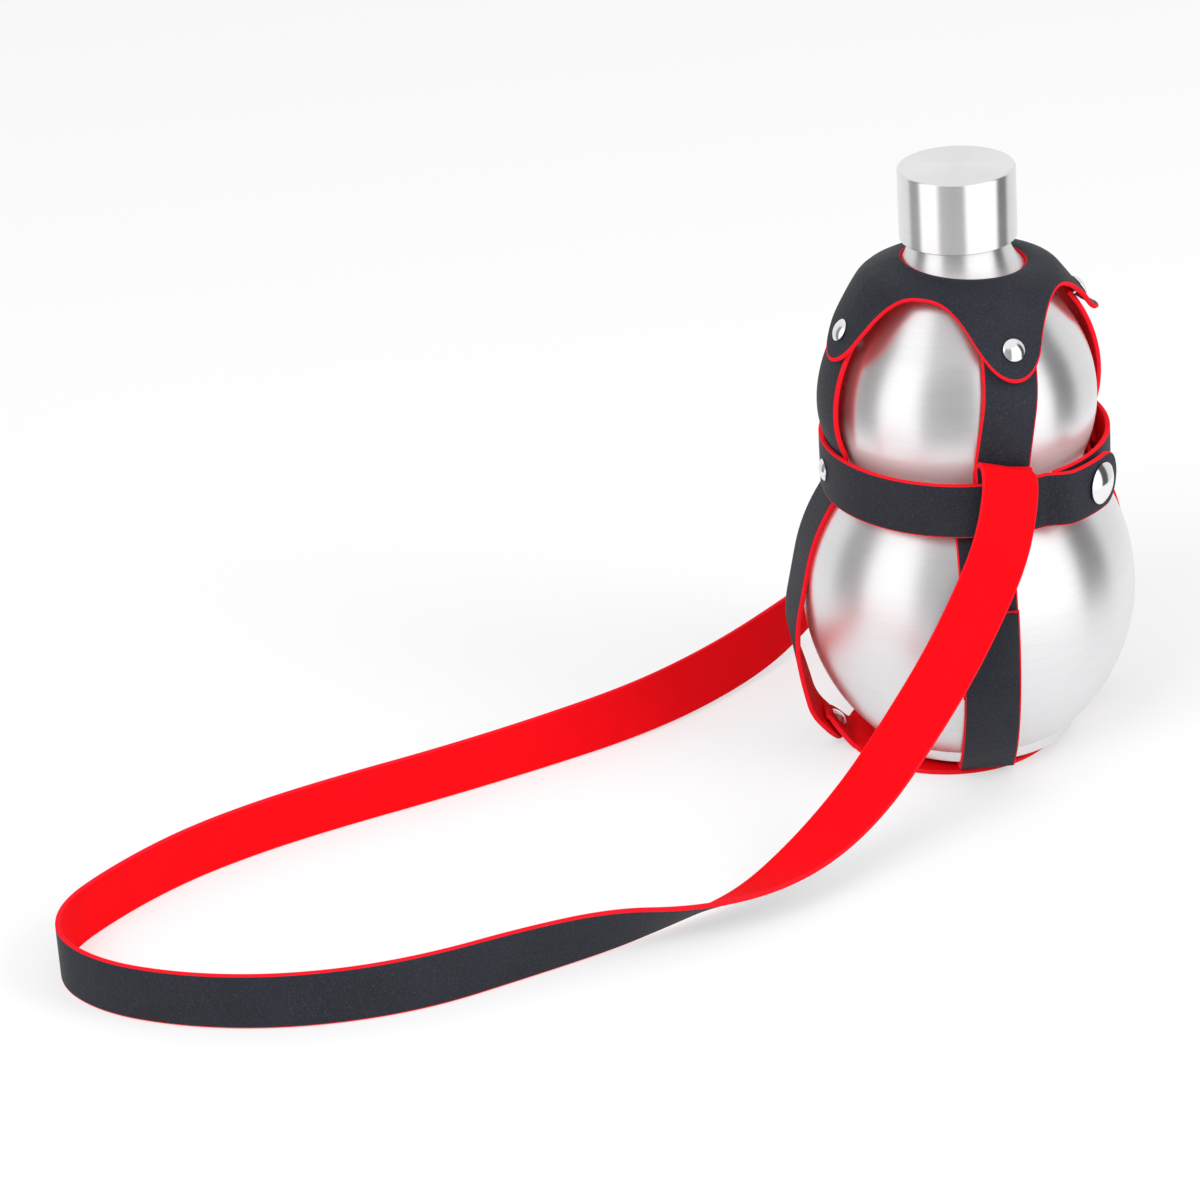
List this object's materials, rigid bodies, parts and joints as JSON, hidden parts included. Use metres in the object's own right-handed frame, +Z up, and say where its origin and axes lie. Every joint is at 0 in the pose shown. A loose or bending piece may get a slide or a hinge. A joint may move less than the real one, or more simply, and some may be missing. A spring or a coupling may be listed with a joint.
{
  "type": "gourd water bottle",
  "caption": "Two-bulb steel water bottle with a screw cap, held in a riveted leather harness with a snap belt and a long carry strap.",
  "frame": {"origin": "on the floor, under the bottle's axis", "axes": "+Z up along the bottle's axis, -Y towards the front of the harness"},
  "size_m": [0.3919, 0.283, 0.218],
  "materials": {
    "bottle_steel": "brushed round the axis",
    "ring_steel": "satin",
    "cap_steel": "brushed",
    "nickel": "polished",
    "liner_plastic": "matte",
    "seal_silicone": "matte",
    "harness_leather": "fine grain outside, red suede inside",
    "strap_leather": "red suede on one side, black grain on the other"
  },
  "bodies": {
    "bottle": {"lower_shell": "bottle_steel", "upper_shell": "bottle_steel", "foot_ring": "ring_steel", "neck_ring": "ring_steel", "lobe_rivets": "nickel", "belt_rivets": "nickel", "tab_rivet": "nickel", "snap_stud": "nickel", "snap_plate": "nickel", "neck_collar": "harness_leather", "foot_strap": "harness_leather", "sole": "harness_leather", "waist_belt": "harness_leather", "carry_strap": "strap_leather", "upper_strap_front": "harness_leather", "upper_strap_right": "harness_leather", "upper_strap_back": "harness_leather", "upper_strap_left": "harness_leather", "lower_strap_front": "harness_leather", "lower_strap_right": "harness_leather", "lower_strap_back": "harness_leather", "lower_strap_left": "harness_leather"},
    "cap_seal": {"cap_seal": "seal_silicone"},
    "cap": {"cap_shell": "cap_steel", "cap_liner": "liner_plastic"},
    "tab": {"belt_tab": "harness_leather", "snap_cap": "nickel", "snap_socket": "nickel"}
  },
  "joints": [
    {"name": "cap_lift", "type": "slide", "parent": "bottle", "child": "cap_seal", "axis": [0, 0, 1], "range_m": [0, 0.01]},
    {"name": "cap_turn", "type": "hinge", "parent": "cap_seal", "child": "cap", "pos_m": [0, 0, 0.2], "axis": [0, 0, 1], "range_deg": [0, 905]},
    {"name": "tab_open", "type": "hinge", "parent": "bottle", "child": "tab", "pos_m": [0.02142, -0.05009, 0.11], "axis": [0, 0, -1], "range_deg": [0, 80]}
  ],
  "couplings": [
    {"joint": "cap_turn", "follows": "cap_lift", "rad_per_m": 1570.8}
  ]
}
